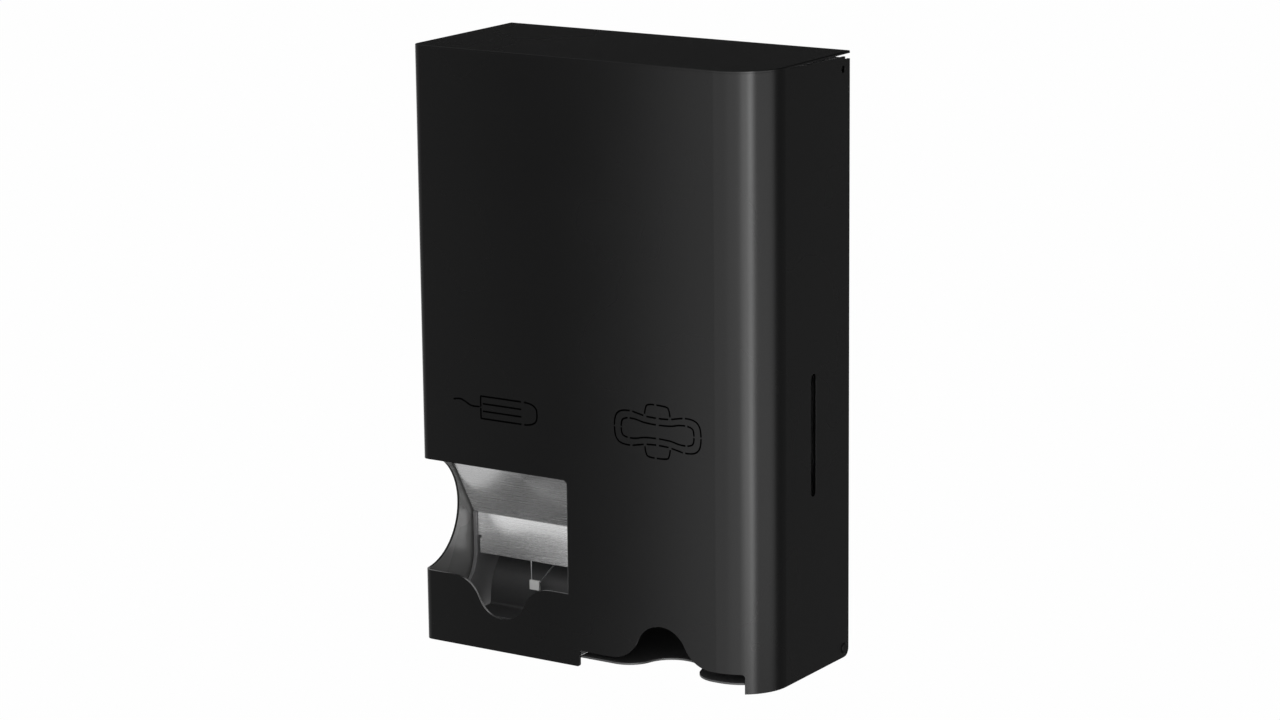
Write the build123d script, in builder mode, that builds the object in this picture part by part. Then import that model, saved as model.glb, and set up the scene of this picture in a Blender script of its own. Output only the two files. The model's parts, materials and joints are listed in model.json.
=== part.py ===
"""Tampon and pad dispenser: a hinged sheet-metal cover over two gravity magazines.

Millimetres. X runs to the user's right, Y into the wall and Z up. The origin is the centre of the
four wall holes, on the face of the wall.
"""
import os
from math import cos, pi, radians, sin, sqrt, tan

from build123d import *

# Case
case_width = 240.0
case_depth = 104.0
case_height = 368.0
cover_sheet = 1.5
cover_rear_gap = 0.5
left_bend_radius = 5.0
right_bend_radius = 30.0
roof_softening = 0.4
seam_gap = 1.4
seam_relief_length = 6.0
seam_relief_depth = 3.2
cut_overrun = 2.0

# Wall plate and its screw pattern
plate_sheet = 1.5
plate_side_gap = 1.0
plate_foot_gap = 0.8
plate_roof_gap = 5.0
plate_ear_depth = 16.0
plate_bend_radius = 2.0
ear_corner_radius = 4.0
wall_hole_spacing_x = 156.0
wall_hole_spacing_z = 150.0
wall_hole_diameter = 7.0
wall_access_diameter = 14.0

# Tampon window in the front and the left side
window_sill = 44.0
window_head = 114.2
window_right_inset = 106.4
window_corner_radius = 3.0
window_end_setback = 1.3

# Bell-shaped finger notches in the cover
bell_radius = 18.0
bell_shoulder_radius = 20.0
tampon_bell_tip = 20.6
tampon_bell_inset = 57.5
pad_bell_tip = 33.8
pad_bell_inset = 68.0

# Pad outlet along the lower edge of the front
outlet_left_inset = 113.8
outlet_right_inset = 13.4
outlet_left_height = 10.0
outlet_right_height = 12.0
outlet_corner_radius = 2.0
outlet_foot_radius = 1.5

# Level slots in both sides
level_slot_width = 6.0
level_slot_length = 74.3
level_slot_height = 145.8
level_slot_setback = 42.6
sight_margin = 1.5

# Hinge at the lower rear corners
hinge_inset = 5.5
pin_diameter = 4.0
pin_clearance = 0.05
pin_head_diameter = 6.6
pin_head_height = 0.7
pin_head_gap = 0.1
pin_head_softening = 0.3
pin_tail_diameter = 6.0
pin_tail_height = 1.2
bush_diameter = 8.0
bush_clearance = 0.03
washer_diameter = 9.0
washer_play = 0.2
hinge_access = 5.0

# Spring latches at the upper rear corners
latch_inset = 8.5
latch_roof_gap = 8.6
latch_hole_diameter = 4.4
plunger_diameter = 4.0
plunger_drawn_gap = 0.3
plunger_tail_length = 5.0
plunger_chamfer = 0.6
collar_diameter = 7.8
collar_length = 2.0
collar_inset = 2.0
housing_length = 18.0
housing_height = 12.0
housing_end_wall = 2.0
housing_bore_diameter = 8.4
housing_softening = 1.0
spring_diameter = 7.4
spring_wire = 0.9
spring_end_gap = 0.1

# Folded channels that hold the two stacks
channel_sheet = 1.2
channel_bend_radius = 1.8
channel_foot = 1.2
channel_drop = 21.5
lip_width = 10.0
tampon_front_gap = 3.5
tampon_left_inset = 4.2
tampon_right_inset = 104.0
pad_front_gap = 10.5
pad_left_margin = 1.0
pad_right_inset = 10.8
pad_lip_foot = 46.0

# Left cheek of the tampon channel, with a hem along its J-shaped edge
cheek_margin = 1.1
cheek_gap = 0.3
trough_rim = 20.0
cheek_sweep_share = 0.57
hem_depth = 5.0

# Baffle over the tampon throat
baffle_inset = 54.1
baffle_foot = 43.4
baffle_knee = 69.6
baffle_lean = 30.0
baffle_bend_radius = 2.0
baffle_brow = 10.0
baffle_top_flange = 12.0
baffle_side_flange = 8.0
relief_width = 1.1
relief_height = 10.5
relief_eye_diameter = 2.4

# Ramp and trough
ramp_flange = 15.0
ramp_shelf = 47.0
ramp_radius = 36.0
ramp_nose_inset = 45.8
ramp_bend_radius = 2.0
ramp_left_gap = 3.1
trough_floor_rear = 8.5
trough_floor_front = 7.0
trough_front_rim = 20.0

# Retainer that hangs in the throat
retainer_width = 7.0
retainer_length = 6.0
retainer_thickness = 1.4
retainer_inset = 47.5
retainer_height = 28.1
retainer_wire_diameter = 0.9
retainer_wire_sides = 8
retainer_wire_bend = 1.5
retainer_wire_overlap = 7.0
retainer_upright_inset = 44.3
retainer_slant_inset = 61.8

# Pad tray
tray_foot = 5.0
tray_front_gap = 1.0
tray_side_gap = 0.2
tray_flange_height = 12.0
tray_flange_setback = 14.0
tray_notch_radius = 18.5
tray_notch_shoulder_radius = 17.0
tray_notch_depth = 26.5

# Rivets
rivet_sides = 12
rivet_diameter = 3.2
rivet_clearance = 0.05
rivet_head_diameter = 6.4
rivet_head_height = 1.1
rivet_head_taper = 35.0
rivet_tail_gap = 0.1
rivet_tail_diameter = 4.8
rivet_tail_height = 0.9
upper_rivet_drop = 40.0
lower_rivet_height = 55.0
rivet_spread_share = 0.26
tray_rivet_height = 11.5
tray_rivet_share = 0.31

# Levels and faces that several pieces share
foot = -case_height / 2
left = -case_width / 2
right = case_width / 2
front = -case_depth
rear = -cover_rear_gap
inner_right = right - cover_sheet
inner_front = front + cover_sheet
roof_under = foot + case_height - cover_sheet
ear_outer = inner_right - plate_side_gap
ear_inner = ear_outer - plate_sheet
plate_top = roof_under - plate_roof_gap
web_rear = -plate_sheet
web_front = web_rear - channel_sheet
channel_top = plate_top - channel_drop
tampon_front = inner_front + tampon_front_gap
tampon_left = left + tampon_left_inset
tampon_right = left + tampon_right_inset
tampon_middle = (tampon_left + tampon_right) / 2
outlet_left = left + outlet_left_inset
outlet_right = right - outlet_right_inset
pad_front = inner_front + pad_front_gap
pad_left = outlet_left - pad_left_margin - channel_sheet
pad_right = right - pad_right_inset
pad_middle = (pad_left + pad_right) / 2
tray_left = pad_left + channel_sheet + tray_side_gap
tray_right = pad_right - channel_sheet - tray_side_gap
tray_front = inner_front + tray_front_gap
tray_rear = web_front - tray_side_gap
tray_flange_length = tray_rear - pad_front - tray_flange_setback
tray_rivets_y = [
    tray_rear - (1 / 2 + way * tray_rivet_share) * tray_flange_length for way in (1, -1)
]
tampon_bell_x = left + tampon_bell_inset
pad_bell_x = right - pad_bell_inset
baffle_face = -baffle_inset
knee_z = foot + baffle_knee
lean = tan(radians(baffle_lean))
baffle_crest_y = tampon_front + channel_sheet
cheek_edge = baffle_face - cheek_margin
cheek_slant = baffle_face + channel_sheet / cos(radians(baffle_lean)) + cheek_gap
cheek_sweep_radius = cheek_sweep_share * (cheek_edge - tampon_front)
baffle_crest_z = knee_z + (baffle_face - baffle_crest_y) / lean
pivot_y = -hinge_inset
pivot_z = foot + hinge_inset
latch_z = roof_under - latch_roof_gap
slot_z = foot + level_slot_height
slot_y = -level_slot_setback
upper_rivet_z = channel_top - upper_rivet_drop
lower_rivet_z = foot + lower_rivet_height
sides = ((-1, "left"), (1, "right"))

os.makedirs("parts", exist_ok=True)


def save(piece, name):
    """Label a finished piece and write its STEP file."""
    piece.part.label = name
    export_step(piece.part, f"parts/{name}.step")
    print(name, len(piece.part.solids()), round(piece.part.volume, 1))


def folded(corners, bends, thickness, side):
    """Section of a folded sheet whose one face runs through the corners."""
    with BuildSketch(Plane.XY, mode=Mode.PRIVATE) as section:
        with BuildLine():
            FilletPolyline(*corners, radius=bends)
            offset(amount=thickness, side=side)
        make_face()
    return section.sketch


def bell(middle, edges, tip, radius, shoulder):
    """Bell notch: a round end at tip that sweeps out into straight edges at its left and right."""
    way = 1 if tip > max(edges) else -1
    centre = tip - way * radius
    with BuildSketch(Plane.XY, mode=Mode.PRIVATE) as notch:
        with BuildLine():
            mouth = []
            for side, edge in zip((-1, 1), edges):
                rise = edge + way * shoulder - centre
                half_mouth = sqrt((radius + shoulder) ** 2 - rise**2)
                share = radius / (radius + shoulder)
                waist = (middle + side * share * half_mouth, centre + share * rise)
                mouth.append((middle + side * half_mouth, edge))
                TangentArc(mouth[-1], waist, tangent=(-side, 0))
                ThreePointArc(
                    waist,
                    (middle + side * radius * cos(pi / 4), centre + way * radius * sin(pi / 4)),
                    (middle, tip),
                )
            beyond = min(edges) - cut_overrun if way > 0 else max(edges) + cut_overrun
            Polyline(mouth[0], (mouth[0][0], beyond), (mouth[1][0], beyond), mouth[1])
        make_face()
    return notch.sketch


def sideways(side, x, y, z):
    """Plane square to X whose normal points out of the case at one side."""
    return Plane(origin=(side * x, y, z), x_dir=(0, 1, 0), z_dir=(side, 0, 0))


# Front cover: one sheet bent round the front and both sides, with every opening cut through it
with BuildPart() as front_cover:
    with BuildSketch(Plane.XY.offset(foot)):
        add(
            folded(
                ((left, rear), (left, front), (right, front), (right, rear)),
                (left_bend_radius, right_bend_radius),
                cover_sheet,
                Side.LEFT,
            )
        )
    extrude(amount=roof_under - foot)
    # Seam that opens towards the rear under the roof, with a relief at the rear corner
    with BuildSketch(Plane.YZ):
        with BuildLine():
            Polyline(
                (front + right_bend_radius, roof_under),
                (-seam_relief_length, roof_under - seam_gap),
                (-seam_relief_length, roof_under - seam_relief_depth),
                (cut_overrun, roof_under - seam_relief_depth),
                (cut_overrun, roof_under),
                close=True,
            )
        make_face()
    extrude(amount=case_width, both=True, mode=Mode.SUBTRACT)
    # Lower rear corners, round about the hinge so that they clear the wall as the cover swings
    fillet(
        edges().filter_by(Axis.X).group_by(Axis.Z)[0].group_by(Axis.Y)[-1],
        hinge_inset - cover_rear_gap,
    )
    # Tampon window with its finger notch, and its full-round end in the left side
    with BuildSketch(Plane.XZ.offset(case_depth)):
        with BuildLine():
            Polyline(
                (left + left_bend_radius, foot + window_sill),
                (left + left_bend_radius, foot + window_head),
                (left + window_right_inset, foot + window_head),
                (left + window_right_inset, foot + window_sill),
                close=True,
            )
        make_face()
        fillet(vertices().group_by(Axis.Y)[-1].sort_by(Axis.X)[-1], window_corner_radius)
        add(
            bell(
                tampon_bell_x,
                (foot + window_sill, foot + window_sill),
                foot + tampon_bell_tip,
                bell_radius,
                bell_shoulder_radius,
            )
        )
    extrude(amount=cover_sheet + cut_overrun, both=True, mode=Mode.SUBTRACT)
    with BuildSketch(Plane.YZ.offset(left)):
        with Locations((front + window_end_setback, foot + (window_sill + window_head) / 2)):
            Circle((window_head - window_sill) / 2)
            Rectangle(
                window_end_setback + cut_overrun,
                window_head - window_sill,
                align=(Align.MAX, Align.CENTER),
            )
    extrude(amount=left_bend_radius, both=True, mode=Mode.SUBTRACT)
    # Pad outlet, open at the lower edge and a little way round the right bend
    with BuildSketch(Plane.XZ.offset(case_depth)):
        with BuildLine():
            Polyline(
                (outlet_left, foot - cut_overrun),
                (outlet_left, foot + outlet_left_height),
                (pad_bell_x, foot + outlet_left_height),
                (pad_bell_x, foot + outlet_right_height),
                (outlet_right, foot + outlet_right_height),
                (outlet_right, foot - cut_overrun),
                close=True,
            )
        make_face()
        corners = vertices().sort_by(Axis.Y)[2:]
        fillet(
            [corners.sort_by(Axis.X)[0], corners.sort_by(Axis.X)[-1]],
            outlet_corner_radius,
        )
        add(
            bell(
                pad_bell_x,
                (foot + outlet_left_height, foot + outlet_right_height),
                foot + pad_bell_tip,
                bell_radius,
                bell_shoulder_radius,
            )
        )
    extrude(amount=right_bend_radius / 2, both=True, mode=Mode.SUBTRACT)
    fillet(
        edges().filter_by(Axis.Y).group_by(Axis.Z)[0].filter_by_position(
            Axis.X, outlet_left - cut_overrun, outlet_left + cut_overrun
        ),
        outlet_foot_radius,
    )
    # Level slots, latch holes and hinge holes through both sides
    with BuildSketch(Plane.YZ):
        with Locations((slot_y, slot_z)):
            SlotOverall(level_slot_length, level_slot_width, rotation=90)
        with Locations((-latch_inset, latch_z)):
            Circle(latch_hole_diameter / 2)
        with Locations((pivot_y, pivot_z)):
            Circle(bush_diameter / 2)
    extrude(amount=case_width, both=True, mode=Mode.SUBTRACT)
save(front_cover, "front_cover")

# Roof: a flat plate welded to the front and to the two bends
with BuildPart() as top_plate:
    with BuildSketch(Plane.XY.offset(roof_under)):
        with BuildLine():
            roof_edge = FilletPolyline(
                (left, rear),
                (left, front),
                (right, front),
                (right, rear),
                radius=(left_bend_radius, right_bend_radius),
            )
            Line(roof_edge @ 1, roof_edge @ 0)
        make_face()
    extrude(amount=cover_sheet)
    chamfer(edges().group_by(Axis.Z)[-1].sort_by(Axis.Y)[:-1], roof_softening)
save(top_plate, "top_plate")

# Hinge: a bush in each side of the cover, a washer against each ear and a riveted pin through all
for side, name in sides:
    with BuildPart() as hinge_bush:
        with BuildSketch(sideways(side, inner_right, pivot_y, pivot_z)):
            Circle(bush_diameter / 2 - bush_clearance)
            Circle(pin_diameter / 2 + pin_clearance, mode=Mode.SUBTRACT)
        extrude(amount=cover_sheet)
    save(hinge_bush, f"hinge_bush_{name}")

    with BuildPart() as hinge_pin:
        with BuildSketch(sideways(side, right + pin_head_gap, pivot_y, pivot_z)):
            Circle(pin_head_diameter / 2)
        extrude(amount=pin_head_height)
        chamfer(faces().sort_by(Axis.X)[0 if side < 0 else -1].edges(), pin_head_softening)
        with BuildSketch(sideways(side, ear_inner, pivot_y, pivot_z)):
            Circle(pin_diameter / 2)
        extrude(amount=right + pin_head_gap - ear_inner)
        with BuildSketch(sideways(side, ear_inner, pivot_y, pivot_z)):
            Circle(pin_tail_diameter / 2)
        extrude(amount=-pin_tail_height)
    save(hinge_pin, f"hinge_pin_{name}")

with BuildPart() as hinge_washers:
    for side, name in sides:
        with BuildSketch(sideways(side, ear_outer, pivot_y, pivot_z)):
            Circle(washer_diameter / 2)
            Circle(pin_diameter / 2 + pin_clearance, mode=Mode.SUBTRACT)
        extrude(amount=plate_side_gap - washer_play)
save(hinge_washers, "hinge_washers")

# Wall plate: ears turned forward at both sides, four wall holes, holes for rivets, pins and latches
with BuildPart() as back_plate:
    with BuildSketch(Plane.XY.offset(foot + plate_foot_gap)):
        add(
            folded(
                (
                    (-ear_outer, -plate_ear_depth),
                    (-ear_outer, 0),
                    (ear_outer, 0),
                    (ear_outer, -plate_ear_depth),
                ),
                plate_bend_radius,
                plate_sheet,
                Side.RIGHT,
            )
        )
    extrude(amount=plate_top - foot - plate_foot_gap)
    fillet(edges().filter_by(Axis.X).group_by(Axis.Y)[0], ear_corner_radius)
    with BuildSketch(Plane.XZ):
        with GridLocations(wall_hole_spacing_x, wall_hole_spacing_z, 2, 2):
            Circle(wall_hole_diameter / 2)
        for middle, width in (
            (tampon_middle, tampon_right - tampon_left),
            (pad_middle, pad_right - pad_left),
        ):
            with Locations((middle, (upper_rivet_z + lower_rivet_z) / 2)):
                with GridLocations(
                    2 * rivet_spread_share * width, upper_rivet_z - lower_rivet_z, 2, 2
                ):
                    RegularPolygon(rivet_diameter / 2 + rivet_clearance, rivet_sides)
    extrude(amount=plate_sheet + cut_overrun, both=True, mode=Mode.SUBTRACT)
    with BuildSketch(Plane.YZ):
        with Locations((-latch_inset, latch_z)):
            Circle(latch_hole_diameter / 2)
        with Locations((pivot_y, pivot_z)):
            Circle(pin_diameter / 2 + pin_clearance)
    extrude(amount=case_width, both=True, mode=Mode.SUBTRACT)
save(back_plate, "back_plate")

# Latches: a housing on each ear, a spring plunger in its bore and the spring behind the collar
for side, name in sides:
    with BuildPart() as latch_housing:
        with BuildSketch(sideways(side, ear_inner, -latch_inset, latch_z)):
            Rectangle(2 * (latch_inset - plate_sheet), housing_height)
        extrude(amount=-housing_length)
        chamfer(
            edges().filter_by(Axis.X) + edges().filter_by(Axis.Z).group_by(Axis.Y)[-1],
            housing_softening,
        )
        with BuildSketch(sideways(side, ear_inner, -latch_inset, latch_z)):
            Circle(housing_bore_diameter / 2)
        extrude(amount=housing_end_wall - housing_length, mode=Mode.SUBTRACT)
        with BuildSketch(sideways(side, ear_inner, -latch_inset, latch_z)):
            Circle(latch_hole_diameter / 2)
        extrude(amount=-housing_length, mode=Mode.SUBTRACT)
    save(latch_housing, f"latch_housing_{name}")

    with BuildPart() as latch_plunger:
        with BuildSketch(sideways(side, inner_right - plunger_drawn_gap, -latch_inset, latch_z)):
            Circle(plunger_diameter / 2)
        extrude(
            amount=ear_inner - housing_length - plunger_tail_length - inner_right + plunger_drawn_gap
        )
        chamfer(edges().filter_by(GeomType.CIRCLE), plunger_chamfer)
        with BuildSketch(sideways(side, ear_inner - collar_inset, -latch_inset, latch_z)):
            Circle(collar_diameter / 2)
        extrude(amount=-collar_length)
    save(latch_plunger, f"latch_plunger_{name}")

    spring_front = ear_inner - collar_inset - collar_length - spring_end_gap
    spring_rear = ear_inner - housing_length + housing_end_wall + spring_end_gap
    with BuildPart() as latch_spring:
        with BuildSketch(sideways(side, spring_front, -latch_inset, latch_z)):
            Circle(spring_diameter / 2)
            Circle(spring_diameter / 2 - spring_wire, mode=Mode.SUBTRACT)
        extrude(amount=spring_rear - spring_front)
    save(latch_spring, f"latch_spring_{name}")

# Tampon channel: web, two cheeks and front lips; the left cheek is cut back to a J-shaped edge
with BuildPart() as tampon_channel:
    with BuildSketch(Plane.XY.offset(foot + channel_foot)):
        add(
            folded(
                (
                    (tampon_left + lip_width, tampon_front),
                    (tampon_left, tampon_front),
                    (tampon_left, web_rear),
                    (tampon_right, web_rear),
                    (tampon_right, tampon_front),
                    (tampon_right - lip_width, tampon_front),
                ),
                channel_bend_radius,
                channel_sheet,
                Side.RIGHT,
            )
        )
    extrude(amount=channel_top - foot - channel_foot)
    # The lips end at the baffle's crest
    with BuildSketch(Plane.XZ.offset(-tampon_front)):
        with BuildLine():
            Polyline(
                (tampon_left + channel_sheet, foot),
                (tampon_left + channel_sheet, baffle_crest_z),
                (tampon_right - channel_sheet, baffle_crest_z),
                (tampon_right - channel_sheet, foot),
                close=True,
            )
        make_face()
    extrude(amount=channel_bend_radius, both=True, mode=Mode.SUBTRACT)
    # Hem that doubles the left cheek outwards along its J-shaped edge
    with BuildSketch(Plane.YZ.offset(tampon_left)):
        with BuildLine():
            Polyline(
                (tampon_front + channel_bend_radius, foot + trough_rim - hem_depth),
                (cheek_edge + hem_depth, foot + trough_rim - hem_depth),
                (cheek_edge + hem_depth, knee_z - cheek_gap),
                (tampon_front + channel_bend_radius, knee_z - cheek_gap),
                close=True,
            )
        make_face()
        fillet(vertices().group_by(Axis.Y)[0].sort_by(Axis.X)[-1], cheek_sweep_radius + hem_depth)
    extrude(amount=-channel_sheet)
    # Cheek cut back to a J below the baffle's knee, and to behind its slanted panel above
    with BuildSketch(Plane.YZ.offset(tampon_left)):
        with BuildLine():
            Polyline(
                (front, foot + trough_rim),
                (cheek_edge, foot + trough_rim),
                (cheek_edge, knee_z - cheek_gap),
                (cheek_slant, knee_z - cheek_gap),
                (cheek_slant, knee_z),
                (front, knee_z + (cheek_slant - front) / lean),
                close=True,
            )
        make_face()
        fillet(vertices().group_by(Axis.Y)[0].sort_by(Axis.X)[-1], cheek_sweep_radius)
    extrude(amount=lip_width, both=True, mode=Mode.SUBTRACT)
    # Sight slot behind the level slot
    with BuildSketch(Plane.YZ.offset(tampon_left)):
        with Locations((slot_y, slot_z)):
            SlotOverall(
                level_slot_length + 2 * sight_margin,
                level_slot_width + 2 * sight_margin,
                rotation=90,
            )
    extrude(amount=lip_width, both=True, mode=Mode.SUBTRACT)
    # Corner cut away for the left hinge pin's riveted end
    with BuildSketch(Plane.YZ.offset(tampon_left)):
        with Locations((0, foot)):
            Rectangle(2 * (hinge_inset + hinge_access), 2 * (hinge_inset + hinge_access))
    extrude(amount=channel_bend_radius, both=True, mode=Mode.SUBTRACT)
    # Access to the wall screws, and rivet holes
    with BuildSketch(Plane.XZ):
        with Locations((-wall_hole_spacing_x / 2, 0)):
            with GridLocations(0, wall_hole_spacing_z, 1, 2):
                Circle(wall_access_diameter / 2)
        with Locations((tampon_middle, (upper_rivet_z + lower_rivet_z) / 2)):
            with GridLocations(
                2 * rivet_spread_share * (tampon_right - tampon_left),
                upper_rivet_z - lower_rivet_z,
                2,
                2,
            ):
                RegularPolygon(rivet_diameter / 2 + rivet_clearance, rivet_sides)
    extrude(amount=lip_width, mode=Mode.SUBTRACT)
    with BuildSketch(Plane.XZ.offset(-tampon_front)):
        for x in (tampon_left + lip_width / 2, tampon_right - lip_width / 2):
            with Locations((x, baffle_crest_z + baffle_top_flange / 2)):
                RegularPolygon(rivet_diameter / 2 + rivet_clearance, rivet_sides)
    extrude(amount=channel_bend_radius, both=True, mode=Mode.SUBTRACT)
save(tampon_channel, "tampon_channel")

# Baffle: an upright panel over the throat, a slanted panel, a top flange and two side flanges
baffle_left = tampon_left + channel_bend_radius
baffle_right = tampon_right - channel_bend_radius
brow_left = tampon_left - channel_sheet
with BuildPart() as tampon_baffle:
    with BuildSketch(Plane.YZ.offset(brow_left)):
        add(
            folded(
                (
                    (baffle_face, foot + baffle_foot),
                    (baffle_face, foot + baffle_knee),
                    (baffle_crest_y, baffle_crest_z),
                    (baffle_crest_y, baffle_crest_z + baffle_top_flange),
                ),
                baffle_bend_radius,
                channel_sheet,
                Side.RIGHT,
            )
        )
    extrude(amount=baffle_right - brow_left)
    # Only the slanted panel reaches over the left cheek
    with BuildSketch(Plane.XZ):
        for low, high in (
            (foot + baffle_foot, knee_z),
            (baffle_crest_z - baffle_brow, baffle_crest_z + baffle_top_flange),
        ):
            with Locations((brow_left, (low + high) / 2)):
                Rectangle(2 * (baffle_left - brow_left), high - low)
    extrude(amount=case_depth, mode=Mode.SUBTRACT)
    # Side flanges
    with BuildSketch(Plane.XY.offset(foot + baffle_foot + relief_height)):
        for x, way in ((baffle_left, Align.MIN), (baffle_right, Align.MAX)):
            with Locations((x, baffle_face)):
                Rectangle(channel_sheet, baffle_side_flange, align=(way, Align.MIN))
    extrude(amount=baffle_knee - baffle_foot - relief_height - baffle_bend_radius)
    # Bend reliefs at the lower corners, each ending in a small eye
    with BuildSketch(Plane.XZ.offset(-baffle_face)):
        for x, way in ((baffle_left, 1), (baffle_right, -1)):
            with Locations((x, foot + baffle_foot)):
                Rectangle(2 * relief_width, 2 * relief_height)
            with Locations((x + way * relief_width, foot + baffle_foot + relief_height)):
                Circle(relief_eye_diameter / 2)
    extrude(amount=baffle_bend_radius, both=True, mode=Mode.SUBTRACT)
    with BuildSketch(Plane.XZ.offset(-baffle_crest_y)):
        for x in (tampon_left + lip_width / 2, tampon_right - lip_width / 2):
            with Locations((x, baffle_crest_z + baffle_top_flange / 2)):
                RegularPolygon(rivet_diameter / 2 + rivet_clearance, rivet_sides)
    extrude(amount=channel_bend_radius, both=True, mode=Mode.SUBTRACT)
save(tampon_baffle, "tampon_baffle")

# Ramp: a flange on the web, a quarter-round hill, the trough's floor and its front rim
with BuildPart() as tampon_ramp:
    with BuildSketch(Plane.YZ.offset(tampon_left + channel_sheet + ramp_left_gap)):
        add(
            folded(
                (
                    (web_front - channel_sheet, foot + ramp_shelf + ramp_flange),
                    (web_front - channel_sheet, foot + ramp_shelf),
                    (-ramp_nose_inset, foot + ramp_shelf),
                    (-ramp_nose_inset, foot + trough_floor_rear),
                    (tampon_front + channel_sheet, foot + trough_floor_front),
                    (tampon_front + channel_sheet, foot + trough_front_rim),
                ),
                (ramp_bend_radius, ramp_radius, ramp_bend_radius, ramp_bend_radius),
                channel_sheet,
                Side.LEFT,
            )
        )
    extrude(amount=tampon_right - tampon_left - channel_bend_radius - channel_sheet - ramp_left_gap)
    with BuildSketch(Plane.XZ):
        with Locations((tampon_middle, lower_rivet_z)):
            with GridLocations(2 * rivet_spread_share * (tampon_right - tampon_left), 0, 2, 1):
                RegularPolygon(rivet_diameter / 2 + rivet_clearance, rivet_sides)
    extrude(amount=lip_width, mode=Mode.SUBTRACT)
save(tampon_ramp, "tampon_ramp")

# Retainer: a bent wire on the back of the baffle holds a small pad in the throat
wire_y = baffle_face + channel_sheet + retainer_wire_diameter / 2
wire_top = foot + baffle_foot + retainer_wire_overlap
wire_low = foot + retainer_height - retainer_length / 4
upright_x = left + retainer_upright_inset
slant_x = left + retainer_slant_inset
with BuildPart() as retainer_wire:
    with BuildLine() as wire_route:
        FilletPolyline(
            (upright_x, wire_y, wire_top),
            (upright_x, wire_y, wire_low),
            (upright_x + retainer_width / 2, wire_y, wire_low),
            (slant_x, wire_y, foot + baffle_foot),
            (slant_x + retainer_wire_overlap, wire_y, wire_top),
            radius=(retainer_wire_bend, retainer_wire_bend, retainer_wire_bend),
        )
    with BuildSketch(Plane(origin=wire_route.line @ 0, z_dir=wire_route.line % 0)):
        RegularPolygon(retainer_wire_diameter / 2, retainer_wire_sides)
    sweep()
save(retainer_wire, "retainer_wire")

with BuildPart() as retainer_pad:
    with BuildSketch(Plane.XZ.offset(-baffle_face - channel_sheet)):
        with Locations((left + retainer_inset, foot + retainer_height)):
            Rectangle(retainer_width, retainer_length)
    extrude(amount=retainer_thickness)
save(retainer_pad, "retainer_pad")

# Pad channel: web, two cheeks and front lips that stop above the outlet
with BuildPart() as pad_channel:
    with BuildSketch(Plane.XY.offset(foot + channel_foot)):
        add(
            folded(
                (
                    (pad_left + lip_width, pad_front),
                    (pad_left, pad_front),
                    (pad_left, web_rear),
                    (pad_right, web_rear),
                    (pad_right, pad_front),
                    (pad_right - lip_width, pad_front),
                ),
                channel_bend_radius,
                channel_sheet,
                Side.RIGHT,
            )
        )
    extrude(amount=channel_top - foot - channel_foot)
    with BuildSketch(Plane.XZ.offset(-pad_front)):
        with BuildLine():
            Polyline(
                (pad_left + channel_sheet, foot),
                (pad_left + channel_sheet, foot + pad_lip_foot),
                (pad_right - channel_sheet, foot + pad_lip_foot),
                (pad_right - channel_sheet, foot),
                close=True,
            )
        make_face()
    extrude(amount=channel_bend_radius, both=True, mode=Mode.SUBTRACT)
    with BuildSketch(Plane.YZ.offset(pad_right)):
        with Locations((slot_y, slot_z)):
            SlotOverall(
                level_slot_length + 2 * sight_margin,
                level_slot_width + 2 * sight_margin,
                rotation=90,
            )
    extrude(amount=lip_width, both=True, mode=Mode.SUBTRACT)
    with BuildSketch(Plane.XZ):
        with Locations((wall_hole_spacing_x / 2, 0)):
            with GridLocations(0, wall_hole_spacing_z, 1, 2):
                Circle(wall_access_diameter / 2)
        with Locations((pad_middle, (upper_rivet_z + lower_rivet_z) / 2)):
            with GridLocations(
                2 * rivet_spread_share * (pad_right - pad_left),
                upper_rivet_z - lower_rivet_z,
                2,
                2,
            ):
                RegularPolygon(rivet_diameter / 2 + rivet_clearance, rivet_sides)
    extrude(amount=lip_width, mode=Mode.SUBTRACT)
    with BuildSketch(Plane.YZ):
        for y in tray_rivets_y:
            with Locations((y, foot + tray_rivet_height)):
                RegularPolygon(rivet_diameter / 2 + rivet_clearance, rivet_sides)
    extrude(amount=case_width, both=True, mode=Mode.SUBTRACT)
save(pad_channel, "pad_channel")

# Pad tray: a floor that reaches to the cover, a finger notch in its front edge, and side flanges
with BuildPart() as pad_tray:
    with BuildSketch(Plane.XY.offset(foot + tray_foot)):
        with BuildLine():
            Polyline(
                (tray_left, tray_rear),
                (tray_left, tray_front),
                (tray_right, tray_front),
                (tray_right, tray_rear),
                close=True,
            )
        make_face()
        # The right front corner follows the cover's bend
        with BuildLine():
            tray_limit = FilletPolyline(
                (left, rear),
                (left, tray_front),
                (inner_right - tray_front_gap, tray_front),
                (inner_right - tray_front_gap, rear),
                radius=(left_bend_radius, right_bend_radius - cover_sheet - tray_front_gap),
            )
            Line(tray_limit @ 1, tray_limit @ 0)
        make_face(mode=Mode.INTERSECT)
        add(
            bell(
                pad_bell_x,
                (tray_front, tray_front),
                tray_front + tray_notch_depth,
                tray_notch_radius,
                tray_notch_shoulder_radius,
            ),
            mode=Mode.SUBTRACT,
        )
    extrude(amount=channel_sheet)
    with BuildSketch(Plane.XY.offset(foot + tray_foot)):
        for x, way in ((tray_left, Align.MIN), (tray_right, Align.MAX)):
            with Locations((x, tray_rear)):
                Rectangle(channel_sheet, tray_flange_length, align=(way, Align.MAX))
    extrude(amount=tray_flange_height)
    with BuildSketch(Plane.YZ):
        for y in tray_rivets_y:
            with Locations((y, foot + tray_rivet_height)):
                RegularPolygon(rivet_diameter / 2 + rivet_clearance, rivet_sides)
    extrude(amount=case_width, both=True, mode=Mode.SUBTRACT)
save(pad_tray, "pad_tray")

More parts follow.
